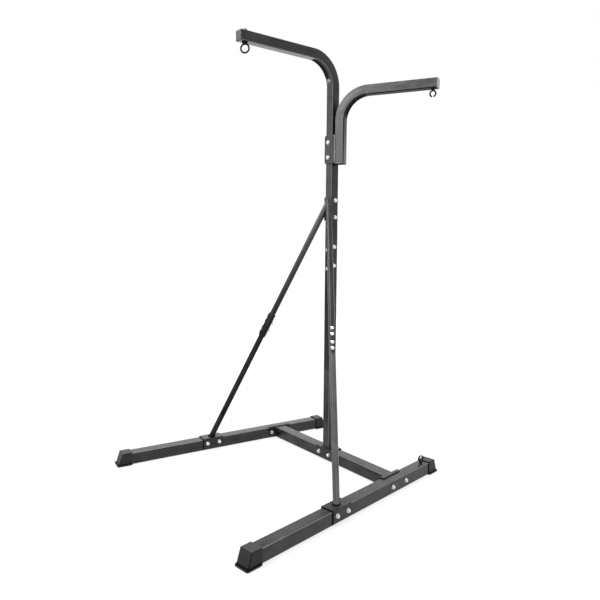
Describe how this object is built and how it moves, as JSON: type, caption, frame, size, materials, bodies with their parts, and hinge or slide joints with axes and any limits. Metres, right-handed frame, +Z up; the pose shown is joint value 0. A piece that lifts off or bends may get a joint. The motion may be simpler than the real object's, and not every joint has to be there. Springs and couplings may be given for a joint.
{
  "type": "punching bag stand",
  "caption": "Free-standing steel punching bag stand: splayed floor rails, a braced square post, a bent-over main arm and a lower side arm, each with a hanging eye.",
  "frame": {"origin": "on the floor, under the middle of the footprint", "axes": "+Z up, +X forward, the way the main arm points, +Y to the left, the side of the second arm"},
  "size_m": [1.3272, 1.3172, 2.1841],
  "materials": {
    "rail_paint": "satin black powder coat",
    "post_paint": "satin black powder coat",
    "brace_paint": "satin black powder coat",
    "plate_paint": "satin black powder coat",
    "foot_rubber": "matt moulded rubber",
    "eye_paint": "black oxide",
    "main_plug_plastic": "grey moulded plastic",
    "second_plug_plastic": "light grey moulded plastic",
    "hidden_steel": "bare steel",
    "bolt_zinc": "bright zinc plate"
  },
  "bodies": {
    "stand": {"left_rail": "rail_paint", "right_rail": "rail_paint", "cross_bar": "rail_paint", "lower_post": "post_paint", "upper_post": "post_paint", "second_arm": "post_paint", "left_upper_brace": "brace_paint", "left_lower_brace": "brace_paint", "right_upper_brace": "brace_paint", "right_lower_brace": "brace_paint", "left_end_bracket": "plate_paint", "right_end_bracket": "plate_paint", "post_saddle": "plate_paint", "left_brace_foot": "plate_paint", "right_brace_foot": "plate_paint", "brace_bracket": "plate_paint", "left_brace_gusset": "plate_paint", "right_brace_gusset": "plate_paint", "clasp_front_cheek": "plate_paint", "clasp_rear_cheek": "plate_paint", "left_outer_brace_clamp": "plate_paint", "left_inner_brace_clamp": "plate_paint", "right_outer_brace_clamp": "plate_paint", "right_inner_brace_clamp": "plate_paint", "left_front_foot": "foot_rubber", "left_rear_foot": "foot_rubber", "right_front_foot": "foot_rubber", "right_rear_foot": "foot_rubber", "second_arm_eye": "eye_paint", "floor_eye": "eye_paint", "second_arm_eye_jam_nut": "eye_paint", "floor_eye_jam_nut": "eye_paint", "main_arm_plug": "main_plug_plastic", "second_arm_foot_plug": "main_plug_plastic", "second_arm_tip_plug": "second_plug_plastic", "splice_sleeve": "hidden_steel", "second_arm_eye_weld_nut": "hidden_steel", "floor_eye_weld_nut": "hidden_steel", "end_bracket_bolts": "bolt_zinc", "end_bracket_nuts": "bolt_zinc", "brace_foot_bolts": "bolt_zinc", "brace_foot_nuts": "bolt_zinc", "post_saddle_bolts": "bolt_zinc", "post_saddle_nuts": "bolt_zinc", "splice_bolts": "bolt_zinc", "splice_nuts": "bolt_zinc", "brace_bracket_bolts": "bolt_zinc", "brace_bracket_nuts": "bolt_zinc", "clasp_bolts": "bolt_zinc", "clasp_nuts": "bolt_zinc", "brace_clamp_bolts": "bolt_zinc", "brace_clamp_nuts": "bolt_zinc"},
    "main_eye": {"main_eye": "eye_paint", "main_eye_nut": "bolt_zinc", "main_eye_washer": "eye_paint"}
  },
  "joints": [
    {"name": "main_eye_swivel", "type": "hinge", "parent": "stand", "child": "main_eye", "pos_m": [0.22781, 0, 2.1475], "axis": [0, 0, 1], "continuous": true}
  ]
}
